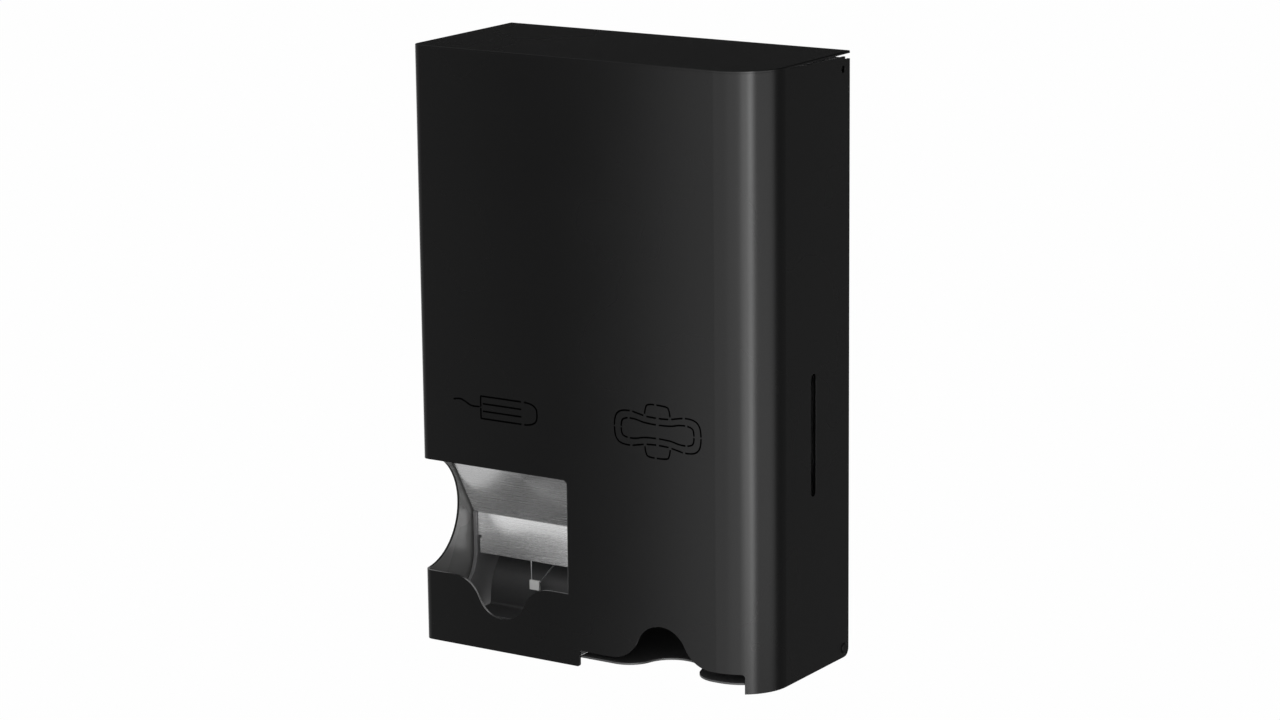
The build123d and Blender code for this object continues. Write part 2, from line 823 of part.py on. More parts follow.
# Rivets: channels and ramp on the wall plate, baffle on the lips, tray between its cheeks
flush_rivets = [
    (middle + way * rivet_spread_share * width, z, seat)
    for middle, width, z, seat in (
        (tampon_middle, tampon_right - tampon_left, upper_rivet_z, web_front),
        (tampon_middle, tampon_right - tampon_left, lower_rivet_z, web_front - channel_sheet),
        (pad_middle, pad_right - pad_left, upper_rivet_z, web_front),
        (pad_middle, pad_right - pad_left, lower_rivet_z, web_front),
    )
    for way in (-1, 1)
]
clinched_rivets = [
    ((x, tampon_front, baffle_crest_z + baffle_top_flange / 2), (0, -1, 0), 0)
    for x in (tampon_left + lip_width / 2, tampon_right - lip_width / 2)
] + [
    ((x, y, foot + tray_rivet_height), (way, 0, 0), tray_side_gap)
    for x, way in ((tray_left + channel_sheet, 1), (tray_right - channel_sheet, -1))
    for y in tray_rivets_y
]
with BuildPart() as channel_rivets:
    for x, z, seat in flush_rivets:
        with BuildSketch(Plane(origin=(x, seat, z), z_dir=(0, -1, 0))):
            RegularPolygon(rivet_head_diameter / 2, rivet_sides)
        extrude(amount=rivet_head_height, taper=rivet_head_taper)
        with BuildSketch(Plane(origin=(x, seat, z), z_dir=(0, -1, 0))):
            RegularPolygon(rivet_diameter / 2, rivet_sides)
        extrude(amount=seat + rivet_tail_gap)
    for seat, normal, play in clinched_rivets:
        head_plane = Plane(origin=seat, z_dir=normal)
        with BuildSketch(head_plane):
            RegularPolygon(rivet_head_diameter / 2, rivet_sides)
        extrude(amount=rivet_head_height, taper=rivet_head_taper)
        with BuildSketch(head_plane):
            RegularPolygon(rivet_diameter / 2, rivet_sides)
        extrude(amount=-2 * channel_sheet - play)
        with BuildSketch(head_plane.offset(-2 * channel_sheet - play)):
            RegularPolygon(rivet_tail_diameter / 2, rivet_sides)
        extrude(amount=-rivet_tail_height)
save(channel_rivets, "channel_rivets")
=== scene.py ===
# %% [markdown]
# A tampon and pad dispenser for a washroom wall. The steel parts come ready made from the packed
# model, so this lesson is about the finishes, the small fittings that are too fine for the solids,
# the light and the camera. Everything is in metres, in the frame of the four wall holes: X runs to
# the user's right, Y into the wall and Z up.

import json
import math

import bmesh
import bpy
from mathutils import Matrix, Vector


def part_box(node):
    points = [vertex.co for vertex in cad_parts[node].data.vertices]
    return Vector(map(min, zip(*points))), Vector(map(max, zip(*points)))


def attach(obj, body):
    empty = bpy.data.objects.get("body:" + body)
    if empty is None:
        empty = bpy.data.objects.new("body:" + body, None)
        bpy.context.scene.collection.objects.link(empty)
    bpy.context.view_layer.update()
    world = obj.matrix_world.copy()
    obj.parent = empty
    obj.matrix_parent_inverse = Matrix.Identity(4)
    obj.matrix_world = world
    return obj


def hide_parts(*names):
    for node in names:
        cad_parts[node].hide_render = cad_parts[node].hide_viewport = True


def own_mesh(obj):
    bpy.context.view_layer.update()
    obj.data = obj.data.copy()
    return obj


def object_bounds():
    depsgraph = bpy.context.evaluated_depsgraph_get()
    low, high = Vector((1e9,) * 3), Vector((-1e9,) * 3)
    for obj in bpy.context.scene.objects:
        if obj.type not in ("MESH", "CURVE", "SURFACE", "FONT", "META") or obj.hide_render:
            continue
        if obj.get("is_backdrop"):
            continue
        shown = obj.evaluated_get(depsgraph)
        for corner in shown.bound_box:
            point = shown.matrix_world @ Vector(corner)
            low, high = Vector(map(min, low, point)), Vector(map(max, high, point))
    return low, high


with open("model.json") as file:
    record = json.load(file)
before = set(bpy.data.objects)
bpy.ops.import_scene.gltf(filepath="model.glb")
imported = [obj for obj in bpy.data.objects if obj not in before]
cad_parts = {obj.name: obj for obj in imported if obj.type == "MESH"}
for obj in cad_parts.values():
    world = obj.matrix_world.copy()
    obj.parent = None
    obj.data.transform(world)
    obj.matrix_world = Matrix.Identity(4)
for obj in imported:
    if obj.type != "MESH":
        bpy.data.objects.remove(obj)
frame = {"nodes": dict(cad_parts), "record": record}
cad_bounds = [[float(value) for value in corner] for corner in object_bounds()]
nodes = frame["nodes"]
print("nodes", len(nodes), "box", cad_bounds)

# %% [markdown]
# Three small helpers carry the whole lesson. A shader tree is quicker to read when one line makes a
# node, sets its values and links its inputs. A finished mesh always goes to an object that sits at
# the origin, because the export expects it there, and a bmesh has its normals put right first.

# %% Helpers for shader nodes and meshes
MM = 0.001
X, Y, Z = Vector((1, 0, 0)), Vector((0, 1, 0)), Vector((0, 0, 1))
foot = cad_bounds[0][2]


def shader_node(tree, kind, values=None, links=None, **settings):
    """Add a node, set its properties and socket values, and link its inputs."""
    made = tree.nodes.new(kind)
    for name, value in settings.items():
        setattr(made, name, value)
    for name, value in (values or {}).items():
        made.inputs[name].default_value = value
    for name, source in (links or {}).items():
        tree.links.new(source, made.inputs[name])
    return made


def finished(mesh, name, body, material):
    """Give a mesh its material and make it a piece that rides on a body of the frame."""
    mesh.materials.clear()
    mesh.materials.append(material)
    piece = bpy.data.objects.new(name, mesh)
    bpy.context.collection.objects.link(piece)
    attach(piece, body)
    print(name, len(mesh.polygons), "faces")
    return piece


def object_from(bm, name, body, material):
    """Turn a bmesh into a finished piece, shaded smooth up to a crease of 35 degrees."""
    mesh = bpy.data.meshes.new(name)
    bmesh.ops.recalc_face_normals(bm, faces=bm.faces)
    bm.to_mesh(mesh)
    bm.free()
    mesh.shade_smooth()
    mesh.set_sharp_from_angle(angle=math.radians(35))
    return finished(mesh, name, body, material)


# %% [markdown]
# Powder coat is sprayed on as a dry powder and baked, so it never lies quite flat: it has a fine
# orange peel of bumps about a millimetre across, a much finer speckle, and a gloss that drifts a
# little over the sheet. A bevel node rounds the cut edges in the shading, as the coat does where it
# wraps round a laser-cut edge. Every black part of the dispenser has this skin, so it is one node
# group with named inputs and outputs, used by several materials.

# %% A node group for the powder coat's skin
coat_skin = bpy.data.node_groups.new("powder_coat_skin", "ShaderNodeTree")
for label, kind, value in (
    ("Colour", "NodeSocketColor", (0.02, 0.02, 0.021, 1.0)),
    ("Roughness", "NodeSocketFloat", 0.4),
    ("Peel", "NodeSocketFloat", 0.2),
):
    socket = coat_skin.interface.new_socket(label, in_out="INPUT", socket_type=kind)
    socket.default_value = value
for label, kind in (
    ("Colour", "NodeSocketColor"),
    ("Roughness", "NodeSocketFloat"),
    ("Normal", "NodeSocketVector"),
):
    coat_skin.interface.new_socket(label, in_out="OUTPUT", socket_type=kind)

peel_scale, speckle_scale, drift_scale = 900.0, 2600.0, 9.0
peel_depth = 0.12 * MM
edge_round = 0.3 * MM
gloss_drift = 0.04
asked = shader_node(coat_skin, "NodeGroupInput")
place = shader_node(coat_skin, "ShaderNodeTexCoord").outputs["Object"]
peel = shader_node(
    coat_skin,
    "ShaderNodeTexNoise",
    {"Scale": peel_scale, "Detail": 2.0, "Roughness": 0.5},
    {"Vector": place},
)
speckle = shader_node(
    coat_skin, "ShaderNodeTexNoise", {"Scale": speckle_scale, "Detail": 1.0}, {"Vector": place}
)
drift = shader_node(
    coat_skin, "ShaderNodeTexNoise", {"Scale": drift_scale, "Detail": 3.0}, {"Vector": place}
)
round_edges = shader_node(coat_skin, "ShaderNodeBevel", {"Radius": edge_round}, samples=4)
bump = shader_node(
    coat_skin,
    "ShaderNodeBump",
    {"Distance": peel_depth},
    {
        "Height": peel.outputs["Fac"],
        "Strength": asked.outputs["Peel"],
        "Normal": round_edges.outputs["Normal"],
    },
)
gloss_shift = shader_node(
    coat_skin,
    "ShaderNodeMapRange",
    {"To Min": -gloss_drift, "To Max": gloss_drift},
    {"Value": drift.outputs["Fac"]},
)
gloss = shader_node(coat_skin, "ShaderNodeMath", operation="ADD")
coat_skin.links.new(asked.outputs["Roughness"], gloss.inputs[0])
coat_skin.links.new(gloss_shift.outputs["Result"], gloss.inputs[1])
tone = shader_node(
    coat_skin,
    "ShaderNodeMapRange",
    {"From Min": 0.3, "From Max": 0.7, "To Min": 0.86, "To Max": 1.14},
    {"Value": speckle.outputs["Fac"]},
)
tinted = shader_node(coat_skin, "ShaderNodeVectorMath", operation="SCALE")
coat_skin.links.new(asked.outputs["Colour"], tinted.inputs[0])
coat_skin.links.new(tone.outputs["Result"], tinted.inputs["Scale"])
shader_node(
    coat_skin,
    "NodeGroupOutput",
    None,
    {
        "Colour": tinted.outputs["Vector"],
        "Roughness": gloss.outputs["Value"],
        "Normal": bump.outputs["Normal"],
    },
)
print("group", coat_skin.name, len(coat_skin.nodes), "nodes")


# %% [markdown]
# One function then makes any coated steel part. On the cover's inner faces it paints light: a paler
# grey stands for the light that the bright baffle throws on them. Those faces look back towards the
# middle of the case, so the dot product of the surface's direction and its place tells them from the
# outer ones, whatever the cover's bends do. Painting two faces of the mesh would be the other way,
# but the frame's meshes stay as they are. The specular level of the cover is low, because a satin
# black sheet that mirrors a white room at full strength would look grey.

# %% Coated steel
outer_limit, inner_limit = -30 * MM, -40 * MM


def coated_steel(name, colour, roughness, peel_strength, specular, inside=None):
    """Black powder-coated sheet, with a paler colour painted as light on the faces that look inwards.
    """
    material = bpy.data.materials.new(name)
    material.use_nodes = True
    tree = material.node_tree
    surface = tree.nodes["Principled BSDF"]
    skin = shader_node(tree, "ShaderNodeGroup", node_tree=coat_skin)
    skin.inputs["Colour"].default_value = (*colour, 1.0)
    skin.inputs["Roughness"].default_value = roughness
    skin.inputs["Peel"].default_value = peel_strength
    shade = skin.outputs["Colour"]
    if inside:
        coordinates = shader_node(tree, "ShaderNodeTexCoord")
        level_place = shader_node(
            tree,
            "ShaderNodeMapping",
            {"Scale": (1, 1, 0)},
            {"Vector": coordinates.outputs["Object"]},
        )
        outwards = shader_node(tree, "ShaderNodeVectorMath", operation="DOT_PRODUCT")
        tree.links.new(level_place.outputs["Vector"], outwards.inputs[0])
        tree.links.new(coordinates.outputs["Normal"], outwards.inputs[1])
        looks_in = shader_node(
            tree,
            "ShaderNodeMapRange",
            {"From Min": outer_limit, "From Max": inner_limit},
            {"Value": outwards.outputs["Value"]},
        )
        # The paler colour mixed in here is painted light: the glow from the bright baffle on the inner
        # faces.
        inner_light_mix = shader_node(
            tree,
            "ShaderNodeMix",
            None,
            {"Factor": looks_in.outputs["Result"]},
            data_type="RGBA",
        )
        tree.links.new(shade, inner_light_mix.inputs[6])
        inner_light_mix.inputs[7].default_value = (*inside, 1.0)
        shade = inner_light_mix.outputs[2]
    tree.links.new(shade, surface.inputs["Base Color"])
    tree.links.new(skin.outputs["Roughness"], surface.inputs["Roughness"])
    tree.links.new(skin.outputs["Normal"], surface.inputs["Normal"])
    surface.inputs["Specular IOR Level"].default_value = specular
    return material


# Painted light: a paler grey for the light that the bright baffle throws on the cover's inner faces.
painted_inner_light = (0.085, 0.085, 0.084)
cover_coat = coated_steel(
    "cover_coat",
    (0.0012, 0.0012, 0.00125),
    roughness=0.27,
    peel_strength=0.08,
    specular=0.16,
    inside=painted_inner_light,
)
chassis_coat = coated_steel(
    "chassis_coat", (0.012, 0.012, 0.0122), roughness=0.5, peel_strength=0.2, specular=0.3
)
channel_coat = coated_steel(
    "channel_coat", (0.08, 0.08, 0.081), roughness=0.42, peel_strength=0.12, specular=0.4
)
ramp_coat = coated_steel(
    "ramp_coat", (0.03, 0.03, 0.0305), roughness=0.4, peel_strength=0.12, specular=0.3
)
print("coats ready")


# %% [markdown]
# The baffle is bare stainless steel with a brushed grain that runs across it, along X. Stretching a
# noise pattern a hundredfold along X gives hair-thin lines, and the same lines drive the roughness
# and a very shallow bump, so the highlight spreads into the soft glow that brushed steel has. The
# brushing also scatters some light in all directions, so the stainless is not quite fully metallic.
# The zinc-plated rivets, the spring wire and the black oxide of the pins are the same finish in other
# colours.

# %% Brushed and plated steel
grain_scale = 2400.0
grain_stretch = 0.01
gloss_spread = 0.03
scratch_depth = 0.02 * MM


def shades_of(tree, colour, darker, lighter, factor):
    """A colour that swings between a darker and a lighter shade as a pattern does."""
    shades = shader_node(tree, "ShaderNodeMix", None, {"Factor": factor}, data_type="RGBA")
    shades.inputs[6].default_value = (*[darker * part for part in colour], 1.0)
    shades.inputs[7].default_value = (*[min(1.0, lighter * part) for part in colour], 1.0)
    return shades.outputs[2]


def brushed_steel(name, colour, roughness, grain_axis=0, metallic=1.0):
    """Bare steel with a one-way grain."""
    material = bpy.data.materials.new(name)
    material.use_nodes = True
    tree = material.node_tree
    surface = tree.nodes["Principled BSDF"]
    surface.inputs["Metallic"].default_value = metallic
    surface.inputs["Anisotropic"].default_value = 0.5
    stretch = [1.0, 1.0, 1.0]
    stretch[grain_axis] = grain_stretch
    coordinates = shader_node(tree, "ShaderNodeTexCoord").outputs["Object"]
    stretched = shader_node(
        tree, "ShaderNodeMapping", {"Scale": stretch}, {"Vector": coordinates}
    ).outputs["Vector"]
    grain = shader_node(
        tree,
        "ShaderNodeTexNoise",
        {"Scale": grain_scale, "Detail": 3.0, "Roughness": 0.7},
        {"Vector": stretched},
    ).outputs["Fac"]
    streaks = shader_node(
        tree, "ShaderNodeMapRange", {"From Min": 0.32, "From Max": 0.68}, {"Value": grain}
    ).outputs["Result"]
    tree.links.new(shades_of(tree, colour, 0.95, 1.05, streaks), surface.inputs["Base Color"])
    dullness = shader_node(
        tree,
        "ShaderNodeMapRange",
        {"To Min": roughness - gloss_spread, "To Max": roughness + gloss_spread},
        {"Value": streaks},
    )
    tree.links.new(dullness.outputs["Result"], surface.inputs["Roughness"])
    scratches = shader_node(
        tree, "ShaderNodeBump", {"Strength": 0.02, "Distance": scratch_depth}, {"Height": streaks}
    )
    tree.links.new(scratches.outputs["Normal"], surface.inputs["Normal"])
    return material


brushed_stainless = brushed_steel("brushed_stainless", (0.88, 0.88, 0.885), 0.26, metallic=0.92)
zinc_steel = brushed_steel("zinc_steel", (0.46, 0.46, 0.48), 0.4, grain_axis=2)
blackened_steel = brushed_steel("blackened_steel", (0.008, 0.008, 0.0082), 0.45, grain_axis=2)
spring_steel = brushed_steel("spring_steel", (0.5, 0.5, 0.51), 0.3)
print("metals ready")


# %% [markdown]
# Moulded plastic has a faint matt texture from the tool it was moulded in. Nylon bushes, washers and
# latch housings are black; the little pad that holds back the next tampon is pale grey.

# %% Moulded plastic
mould_grain_scale = 3000.0
mould_grain_depth = 0.1 * MM


def moulded_plastic(name, colour, roughness, specular=0.5):
    """Plastic with a fine moulded grain."""
    material = bpy.data.materials.new(name)
    material.use_nodes = True
    tree = material.node_tree
    surface = tree.nodes["Principled BSDF"]
    coordinates = shader_node(tree, "ShaderNodeTexCoord").outputs["Object"]
    grain = shader_node(
        tree,
        "ShaderNodeTexNoise",
        {"Scale": mould_grain_scale, "Detail": 2.0},
        {"Vector": coordinates},
    ).outputs["Fac"]
    tree.links.new(shades_of(tree, colour, 0.9, 1.08, grain), surface.inputs["Base Color"])
    surface.inputs["Roughness"].default_value = roughness
    surface.inputs["Specular IOR Level"].default_value = specular
    texture = shader_node(
        tree, "ShaderNodeBump", {"Strength": 0.1, "Distance": mould_grain_depth}, {"Height": grain}
    )
    tree.links.new(texture.outputs["Normal"], surface.inputs["Normal"])
    return material


nylon = moulded_plastic("nylon", (0.005, 0.005, 0.0052), 0.5, specular=0.12)
housing_plastic = moulded_plastic("housing_plastic", (0.018, 0.018, 0.019), 0.5)
retainer_plastic = moulded_plastic("retainer_plastic", (0.43, 0.43, 0.425), 0.5)
print("plastics ready")

# %% [markdown]
# Each part of the frame already names its material slot in the record, so the finishes go on in one
# short loop.

# %% Dress the frame's parts
finishes = {
    "cover_coat": cover_coat,
    "chassis_coat": chassis_coat,
    "channel_coat": channel_coat,
    "ramp_coat": ramp_coat,
    "brushed_stainless": brushed_stainless,
    "zinc_steel": zinc_steel,
    "blackened_steel": blackened_steel,
    "spring_steel": spring_steel,
    "nylon": nylon,
    "housing_plastic": housing_plastic,
    "retainer_plastic": retainer_plastic,
}
for row in frame["record"]["subparts"]:
    nodes[row["node"]].data.materials.clear()
    nodes[row["node"]].data.materials.append(finishes[row["material_slot"]])

# %% [markdown]
# Behind each latch plunger's collar sits a helical compression spring. In the frame it is a plain
# sleeve. Spinning a small circle of wire round the plunger's axis, with a little travel at each
# step, makes the helix. A screw modifier would do it too, but the spin keeps it one operation.
# On the real latch, a plunger pushed in by its 1.6 mm shortens the spring against the inner wall; this
# coil rides on the chassis and keeps its length.

# %% Latch springs
wire_diameter = 0.9 * MM
wire_sides = 12
coils = 8
steps_per_coil = 28
for side, way in (("left", -1), ("right", 1)):
    low, high = (Vector(corner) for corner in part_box(f"latch_spring_{side}"))
    middle = (low + high) / 2
    coil_radius = (high.z - low.z - wire_diameter) / 2
    travel = high.x - low.x - wire_diameter
    spring = bmesh.new()
    section = bmesh.ops.create_circle(
        spring,
        segments=wire_sides,
        radius=wire_diameter / 2,
        cap_ends=True,
        matrix=Matrix.Translation((low.x + wire_diameter / 2, middle.y, middle.z + coil_radius))
        @ Matrix.Rotation(math.radians(90), 4, "X"),
    )
    end_face = section["verts"][0].link_faces[0]
    bmesh.ops.spin(
        spring,
        geom=[end_face, *end_face.edges, *end_face.verts],
        cent=middle,
        axis=X,
        dvec=X * travel / (coils * steps_per_coil),
        angle=2 * math.pi * coils,
        steps=coils * steps_per_coil,
    )
    coil = object_from(
        spring, f"coil_spring_{side}", "chassis", spring_steel
    )
    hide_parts(f"latch_spring_{side}")
    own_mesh(coil)

# %% [markdown]
# The retainer's wire is bent from round spring wire. A curve with a round bevel is the natural
# choice for wire: three close points at each bend keep the runs straight and the corners tight.
# The curve is made a mesh, so that its place is in the mesh like every other piece's.

# %% Retainer wire
low, high = (Vector(corner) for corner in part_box("retainer_wire"))
wire_radius = (high.y - low.y) / 2
bend = 1.6 * MM
wire_y = (low.y + high.y) / 2
upright_x = low.x + wire_radius
wire_low = low.z + wire_radius
corner_x = upright_x + 3.5 * MM
slant_x = -58.2 * MM
slant_z = foot + 43.4 * MM
end_x = slant_x + 7.0 * MM


def wire_bend(before, corner, after):
    """The corner of a wire route, with a point on each run next to it."""
    return [
        corner + (before - corner).normalized() * bend,
        corner,
        corner + (after - corner).normalized() * bend,
    ]


stations = [
    Vector((upright_x, wire_y, high.z)),
    Vector((upright_x, wire_y, wire_low)),
    Vector((corner_x, wire_y, wire_low)),
    Vector((slant_x, wire_y, slant_z)),
    Vector((end_x, wire_y, high.z)),
]
route = [stations[0]]
for index in (1, 2, 3):
    route += wire_bend(*stations[index - 1 : index + 2])
route.append(stations[-1])
wire_curve = bpy.data.curves.new("wire_route", "CURVE")
wire_curve.dimensions = "3D"
wire_curve.bevel_depth = wire_radius
wire_curve.bevel_resolution = 4
wire_curve.use_fill_caps = True
spline = wire_curve.splines.new("NURBS")
spline.points.add(len(route) - 1)
for point, spot in zip(spline.points, route):
    point.co = (*spot, 1.0)
spline.order_u = 3
spline.use_endpoint_u = True
spline.resolution_u = 6
wire_shape = bpy.data.objects.new("wire_shape", wire_curve)
bpy.context.collection.objects.link(wire_shape)
bpy.context.view_layer.update()
wire_mesh = bpy.data.meshes.new_from_object(
    wire_shape.evaluated_get(bpy.context.evaluated_depsgraph_get())
)
bpy.data.objects.remove(wire_shape)
wire_mesh.shade_smooth()
wire = finished(wire_mesh, "retainer_bent_wire", "chassis", spring_steel)
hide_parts("retainer_wire")

# %% [markdown]
# Blind rivets hold the channels, the baffle and the tray. The frame has them as faceted pegs, all in
# one node, and their places are read from it: its triangles are merged, and each island's box gives
# one rivet's axis, head and length. A real one has a domed head with a small pit where the mandrel
# broke off, and a bulged tail, which is one profile spun round the axis.

# %% Where the rivets sit
same_place = 0.001 * MM
rivet_copy = bmesh.new()
rivet_copy.from_mesh(nodes["channel_rivets"].data)
bmesh.ops.remove_doubles(rivet_copy, verts=rivet_copy.verts, dist=same_place)
pegs = []
waiting = set(rivet_copy.verts)
while waiting:
    front_line = [waiting.pop()]
    island = list(front_line)
    while front_line:
        vert = front_line.pop()
        for edge in vert.link_edges:
            other = edge.other_vert(vert)
            if other in waiting:
                waiting.discard(other)
                front_line.append(other)
                island.append(other)
    spots = [vert.co.copy() for vert in island]
    low = Vector([min(spot[axis] for spot in spots) for axis in range(3)])
    high = Vector([max(spot[axis] for spot in spots) for axis in range(3)])
    pegs.append((low, high))
rivet_copy.free()
pegs.sort(key=lambda box: tuple(box[0]))
print("rivets", len(pegs))

# %% [markdown]
# A rivet through a side of a channel lies along X and the others lie along Y. A peg that lies along X
# is shorter in X than in Z, where its head is widest. The rivets in the wall plate have a plain end,
# because the plate lies flat on the wall there; the others show their bulged tail inside.

# %% Domed rivets
head_radius = 3.2 * MM
head_height = 1.1 * MM
pit_depth = 0.35 * MM
shank_radius = 1.6 * MM
tail_radius = 2.4 * MM
tail_height = 0.9 * MM
right_side_x = 50 * MM
near_wall_y = -50 * MM
rivets = bmesh.new()
for low, high in pegs:
    size = high - low
    middle = (low + high) / 2
    across = size.x < size.z - 0.5 * MM
    if across:
        way = X if middle.x < right_side_x else -X
        length = size.x - head_height
        seat_x = high.x - head_height if way.x > 0 else low.x + head_height
        seat = Vector((seat_x, middle.y, middle.z))
    else:
        way = -Y
        length = size.y - head_height
        seat = Vector((middle.x, low.y + head_height, middle.z))
    outline = [
        (0.0, head_height - pit_depth),
        (0.6 * MM, head_height - pit_depth),
        (0.8 * MM, head_height),
        (1.7 * MM, head_height - 0.1 * MM),
        (2.6 * MM, head_height - 0.42 * MM),
        (head_radius - 0.1 * MM, 0.25 * MM),
        (head_radius, 0.1 * MM),
        (head_radius - 0.1 * MM, 0.0),
        (shank_radius, 0.0),
    ]
    if across or middle.y < near_wall_y:
        neck = tail_height - length
        outline += [
            (shank_radius, neck),
            (tail_radius, neck - 0.25 * MM),
            (tail_radius - 0.3 * MM, -length + 0.15 * MM),
            (0.7 * MM, -length),
            (0.0, -length),
        ]
    else:
        outline += [(shank_radius, -length), (0.0, -length)]
    turn = Z.rotation_difference(way).to_matrix().to_4x4()
    spots = [
        rivets.verts.new(Matrix.Translation(seat) @ turn @ Vector((radius, 0.0, height)))
        for radius, height in outline
    ]
    edges = [rivets.edges.new(pair) for pair in zip(spots, spots[1:])]
    bmesh.ops.spin(
        rivets,
        geom=spots + edges,
        cent=seat,
        axis=way,
        angle=2 * math.pi,
        steps=24,
        use_merge=True,
    )
bmesh.ops.remove_doubles(rivets, verts=rivets.verts, dist=same_place)
domed_rivets = object_from(rivets, "domed_rivets", "chassis", zinc_steel)
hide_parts("channel_rivets")

# %% [markdown]
# Two plain pictograms on the front say what comes out below: a tampon with its string at the left,
# and a pad with wings at the right. On the real cover they are fine stencil slots cut through the
# sheet, with small bridges, and dark with the shade behind them. Here each stroke is a curve with a
# round bevel, made a mesh and pressed almost flat on the front, a hundredth of a millimetre proud, and
# painted
# flat black: painted shade in place of the slots' shadow. A decal picture would be the other way, but
# strokes stay sharp at any distance.

# %% Painted slot shade and helpers for strokes
# Painted shade: flat black without gloss, in place of the shadow inside the cut-through slots.
slot_shade_paint = moulded_plastic("slot_shade_paint", (0.0004, 0.0004, 0.0004), 0.8, specular=0.0)
stroke_width = 1.05 * MM
press = 0.02
sign_level = foot + 152.4 * MM
front_y = cad_bounds[0][1]
strokes = bpy.data.curves.new("sign_strokes", "CURVE")
strokes.dimensions = "3D"
strokes.bevel_depth = stroke_width / 2
strokes.bevel_resolution = 2
strokes.use_fill_caps = True


def stroke(points, rise=0.0):
    """Smooth line through control points, in millimetres from the sign's middle line."""
    line = strokes.splines.new("NURBS")
    line.points.add(len(points) - 1)
    for point, (x, z) in zip(line.points, points):
        point.co = (x * MM, 0.0, sign_level + (z + rise) * MM, 1.0)
    line.order_u = 3 if len(points) > 2 else 2
    line.use_endpoint_u = True
    line.resolution_u = 6


def mirrored(points, middle_x, flip_x, flip_z):
    """The same points on the other side of a sign's middle."""
    return [(middle_x + flip_x * x, flip_z * z) for x, z in points]


# %% [markdown]
# The tampon is a box with a round nose, two lines along it and a wavy string. All numbers are in
# millimetres on the front: the first is to the right of the wall holes' middle, the second above the
# signs' middle line. The two halves mirror each other, with a small gap at the back.

# %% Tampon sign
half = 6.9
drop = -0.8
groove = 2.3
back, shoulder, nose = -75.0, -43.5, -34.0
for way in (1, -1):
    back_corner = [(back, way * 0.3), (back, way * half), (back + 0.4, way * half)]
    stroke([*back_corner, (shoulder - 2, way * half)], rise=drop)
    stroke([(back + 1.4, way * groove), (shoulder - 2, way * groove)], rise=drop)
stroke(
    [
        (shoulder, half),
        (shoulder + 3.8, half - 0.1),
        (nose - 0.8, 4.6),
        (nose, 0.0),
        (nose - 0.8, -4.6),
        (shoulder + 3.8, 0.1 - half),
        (shoulder, -half),
    ],
    rise=drop,
)
stroke([(-95.0, 1.9), (-90.6, 3.2), (-86.0, 1.4), (-81.5, -1.2), (back - 0.9, -0.5)])

# %% [markdown]
# The pad's rim and core are the same in all four quarters, so one quarter is drawn and mirrored. The
# waist and the wings are drawn once and mirrored from top to bottom. The gaps between the strokes are
# the bridges of the stencil.

# %% Pad sign
pad_middle = 50.7
for flip_x in (1, -1):
    for flip_z in (1, -1):
        for part in (
            # the rim, from the waist to the end's shoulder and round the end
            [(9.6, 8.7), (14.0, 9.6), (17.4, 10.3)],
            [(19.0, 10.4), (23.4, 10.5), (27.9, 8.6), (29.8, 4.6), (29.9, 0.4)],
            # the core inside it
            [(1.0, 4.1), (9.0, 4.2), (15.0, 6.0), (19.2, 6.0)],
            [(20.6, 5.9), (23.7, 5.4), (25.1, 3.0), (25.1, 0.4)],
        ):
            stroke(mirrored(part, pad_middle, flip_x, flip_z))
for flip_z in (1, -1):
    for part in (
        # the rim at the waist
        [(-7.6, 8.4), (-2.4, 8.1), (-0.9, 8.1)],
        [(0.9, 8.1), (2.4, 8.1), (7.6, 8.4)],
        # the wing
        [(-8.8, 9.8), (-8.2, 14.4), (-6.0, 16.0), (-2.0, 16.0)],
        [(-0.6, 16.0), (6.0, 16.0), (8.2, 14.4), (8.8, 9.8)],
    ):
        stroke(mirrored(part, pad_middle, 1, flip_z))

# %% [markdown]
# The curves become one mesh, which is then scaled in Y to a fiftieth and moved to the front. The
# transform goes into the mesh, so that the object itself stays at the origin.

# %% Press the strokes on to the front
stroke_shape = bpy.data.objects.new("stroke_shape", strokes)
bpy.context.collection.objects.link(stroke_shape)
bpy.context.view_layer.update()
sign_mesh = bpy.data.meshes.new_from_object(
    stroke_shape.evaluated_get(bpy.context.evaluated_depsgraph_get())
)
bpy.data.objects.remove(stroke_shape)
sign_mesh.transform(Matrix.Translation((0, front_y, 0)) @ Matrix.Diagonal((1, press, 1, 1)))
finished(sign_mesh, "front_signs", "cover", slot_shade_paint)

# %% [markdown]
# The photograph looks down on the dispenser's right front corner from a little over two metres away
# with a long lens. The camera's place, direction and slight roll were worked out from the edges of the
# case. It has no lens shift, so that a view from any other side also has the case in its middle.

# %% Camera
camera_data = bpy.data.cameras.new("studio_camera")
camera = bpy.data.objects.new("studio_camera", camera_data)
bpy.context.collection.objects.link(camera)
bpy.context.scene.camera = camera
roll = math.radians(-0.5868)
forward = Vector((-0.529173, 0.81776, -0.226371)).normalized()
level_right = forward.cross(Z).normalized()
level_up = level_right.cross(forward)
right_way = level_right * math.cos(roll) + level_up * math.sin(roll)
up_way = level_up * math.cos(roll) - level_right * math.sin(roll)
turn = Matrix((right_way, up_way, -forward)).transposed()
camera.matrix_world = Matrix.Translation((1.21705, -1.924296, 0.513955)) @ turn.to_4x4()
picture_width = 1280
focal_pixels = 3826.31
camera_data.sensor_width = 36.0
camera_data.lens = focal_pixels / picture_width * camera_data.sensor_width
camera_data.clip_end = 60.0
print("camera", camera.location)

# %% [markdown]
# The backdrop is plain white. A satin black surface shows little but what it mirrors, so the world is
# white where the camera, a gloss or glass looks at it, and dimmer where it only lights. The Light Path
# node tells these rays apart. A brighter world would make a white backdrop too, but it would also
# wash out the black.

